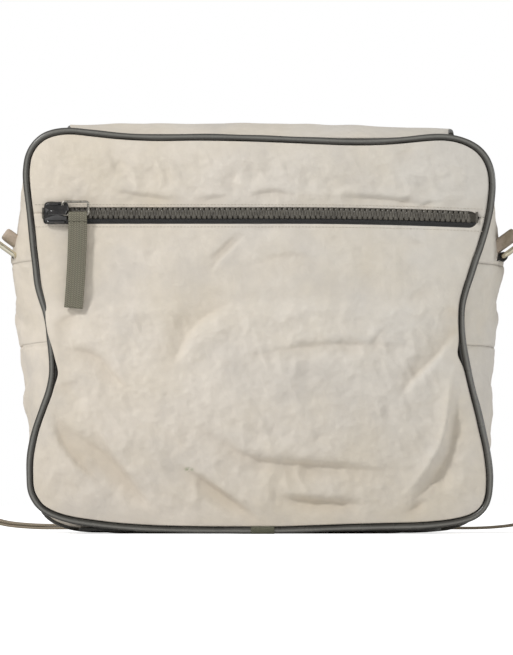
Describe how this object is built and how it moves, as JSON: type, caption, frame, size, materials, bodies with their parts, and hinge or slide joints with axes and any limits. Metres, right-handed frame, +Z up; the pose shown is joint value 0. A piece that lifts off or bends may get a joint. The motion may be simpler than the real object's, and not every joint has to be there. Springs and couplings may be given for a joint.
{
  "type": "messenger bag",
  "caption": "Soft flap-over messenger bag with a zipped rear pocket, dark piping, side rings and an adjustable shoulder strap.",
  "frame": {"origin": "middle of the base, on the surface that the bag stands on", "axes": "+X to the right of the zipped rear face, which looks along -Y; +Z up"},
  "size_m": [0.5196, 0.178, 0.3195],
  "materials": {
    "shell_cloth": "matte light beige nylon",
    "piping": "semi-gloss dark vinyl",
    "joint_cover": "ribbed tape",
    "zip_teeth": "moulded, slight sheen",
    "zip_tape": "woven dark grey",
    "slider_metal": "black gloss",
    "puller_webbing": "coarse weave",
    "ring_metal": "polished, pale gold",
    "anchor_webbing": "black webbing",
    "buckle": "black moulded",
    "strap_webbing": "taupe webbing",
    "touch_fastener": "hook and loop",
    "board": "stiff sheet",
    "lining": "thin lining cloth"
  },
  "bodies": {
    "bag": {"back_panel_upper": "shell_cloth", "back_panel_lower": "shell_cloth", "zip_facing_left": "shell_cloth", "zip_facing_right": "shell_cloth", "back_piping": "piping", "back_piping_cover": "joint_cover", "front_panel": "shell_cloth", "front_piping": "piping", "front_piping_cover": "joint_cover", "gusset_bottom": "shell_cloth", "gusset_middle_left": "shell_cloth", "gusset_middle_right": "shell_cloth", "gusset_upper_left": "shell_cloth", "gusset_upper_right": "shell_cloth", "base_board": "board", "zip_tape_upper": "zip_tape", "zip_tape_lower": "zip_tape", "zip_teeth_upper": "zip_teeth", "zip_teeth_lower": "zip_teeth", "zip_top_stops": "zip_teeth", "zip_bottom_stop": "zip_teeth", "zip_pocket_bag": "lining", "loop_patch_left": "touch_fastener", "loop_patch_right": "touch_fastener", "side_tab_left": "strap_webbing", "side_tab_right": "strap_webbing", "anchor_loop_left": "anchor_webbing", "anchor_loop_right": "anchor_webbing", "strap_main_left": "strap_webbing", "strap_main_right": "strap_webbing", "strap_return": "strap_webbing", "strap_adjuster": "buckle"},
    "zip_slider": {"slider_body": "slider_metal"},
    "slider_bail": {"slider_bail": "slider_metal"},
    "webbing_puller": {"webbing_puller": "puller_webbing"},
    "flap_top": {"flap_top": "shell_cloth", "flap_top_binding_left": "piping", "flap_top_binding_right": "piping"},
    "flap_front": {"flap_front": "shell_cloth", "flap_front_binding": "piping", "hook_patch_left": "touch_fastener", "hook_patch_right": "touch_fastener"},
    "ring_left": {"ring_left": "ring_metal", "strap_end_left": "strap_webbing"},
    "ring_right": {"ring_right": "ring_metal", "strap_end_right": "strap_webbing"},
    "strap_keeper": {"strap_keeper": "buckle"}
  },
  "joints": [
    {"name": "zip_slide", "type": "slide", "parent": "bag", "child": "zip_slider", "axis": [1, 0, 0], "range_m": [0, 0.3112], "deforming": ["zip_teeth_upper", "zip_teeth_lower"]},
    {"name": "bail_swing", "type": "hinge", "parent": "zip_slider", "child": "slider_bail", "pos_m": [-0.1522, -0.05195, 0.2508], "axis": [0, 0, 1], "range_deg": [-90, 0]},
    {"name": "puller_swing", "type": "hinge", "parent": "slider_bail", "child": "webbing_puller", "pos_m": [-0.1422, -0.05195, 0.2458], "axis": [1, 0, 0], "range_deg": [-145, 2]},
    {"name": "flap_lift", "type": "hinge", "parent": "bag", "child": "flap_top", "pos_m": [0, -0.04292, 0.30628], "axis": [1, 0, 0], "range_deg": [0, 100]},
    {"name": "flap_fold", "type": "hinge", "parent": "flap_top", "child": "flap_front", "pos_m": [0, 0.0541, 0.3032], "axis": [1, 0, 0], "range_deg": [0, 165]},
    {"name": "ring_left_swing", "type": "hinge", "parent": "bag", "child": "ring_left", "pos_m": [-0.18903, 0, 0.21523], "axis": [0, 1, 0], "range_deg": [-30, 0], "deforming": ["strap_main_left", "strap_return"]},
    {"name": "ring_right_swing", "type": "hinge", "parent": "bag", "child": "ring_right", "pos_m": [0.18903, 0, 0.21523], "axis": [0, 1, 0], "range_deg": [0, 30], "deforming": ["strap_main_right"]},
    {"name": "keeper_slide", "type": "slide", "parent": "bag", "child": "strap_keeper", "axis": [1, 0, 0], "range_m": [-0.045, 0.05]}
  ]
}
